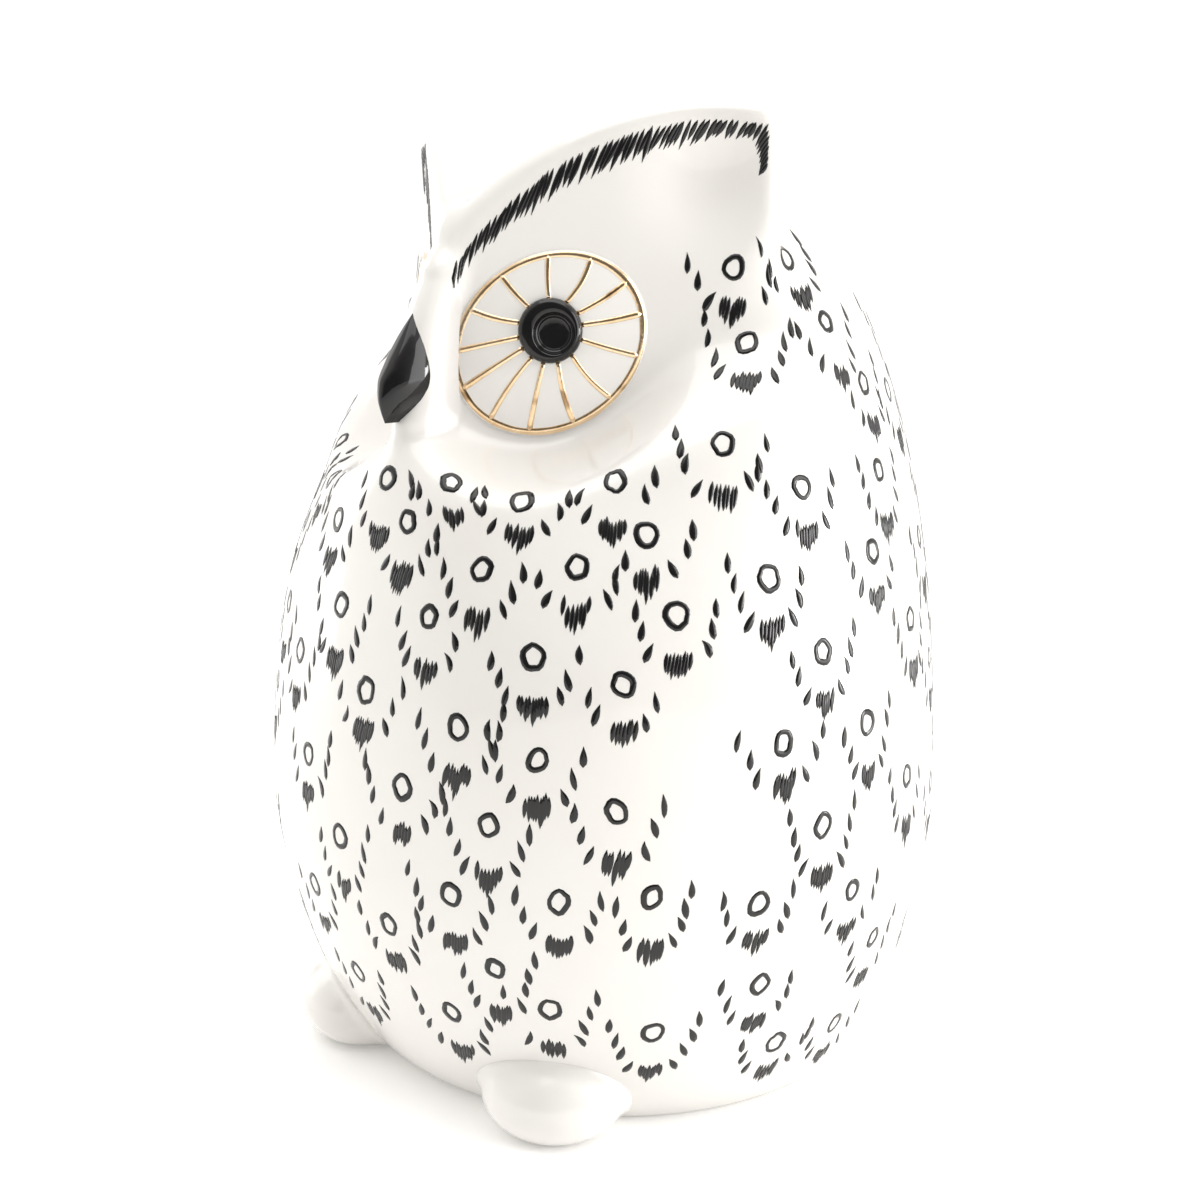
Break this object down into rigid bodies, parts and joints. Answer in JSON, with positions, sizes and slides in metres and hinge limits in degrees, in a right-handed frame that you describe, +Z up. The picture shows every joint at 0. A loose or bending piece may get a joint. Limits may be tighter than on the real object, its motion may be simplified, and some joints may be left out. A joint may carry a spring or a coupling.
{
  "type": "owl figurine",
  "caption": "Hollow glazed ceramic owl with short ears, wheel eyes, a leaf-shaped beak and two round feet, that stands on its flat base.",
  "frame": {"origin": "on the resting plane, under the middle of the owl's bounding box", "axes": "+Z up; the owl faces -Y; +X is towards the owl's own left side"},
  "size_m": [0.1614, 0.1615, 0.2158],
  "materials": {
    "white_glaze": "gloss",
    "black_glaze": "gloss",
    "gold_lustre": "polished"
  },
  "bodies": {
    "root": {"body_shell": "white_glaze", "foot_left": "white_glaze", "foot_right": "white_glaze", "eye_dome_left": "white_glaze", "eye_dome_right": "white_glaze", "eye_wheel_left": "gold_lustre", "eye_wheel_right": "gold_lustre", "pupil_left": "black_glaze", "pupil_right": "black_glaze", "beak": "black_glaze"}
  },
  "joints": []
}
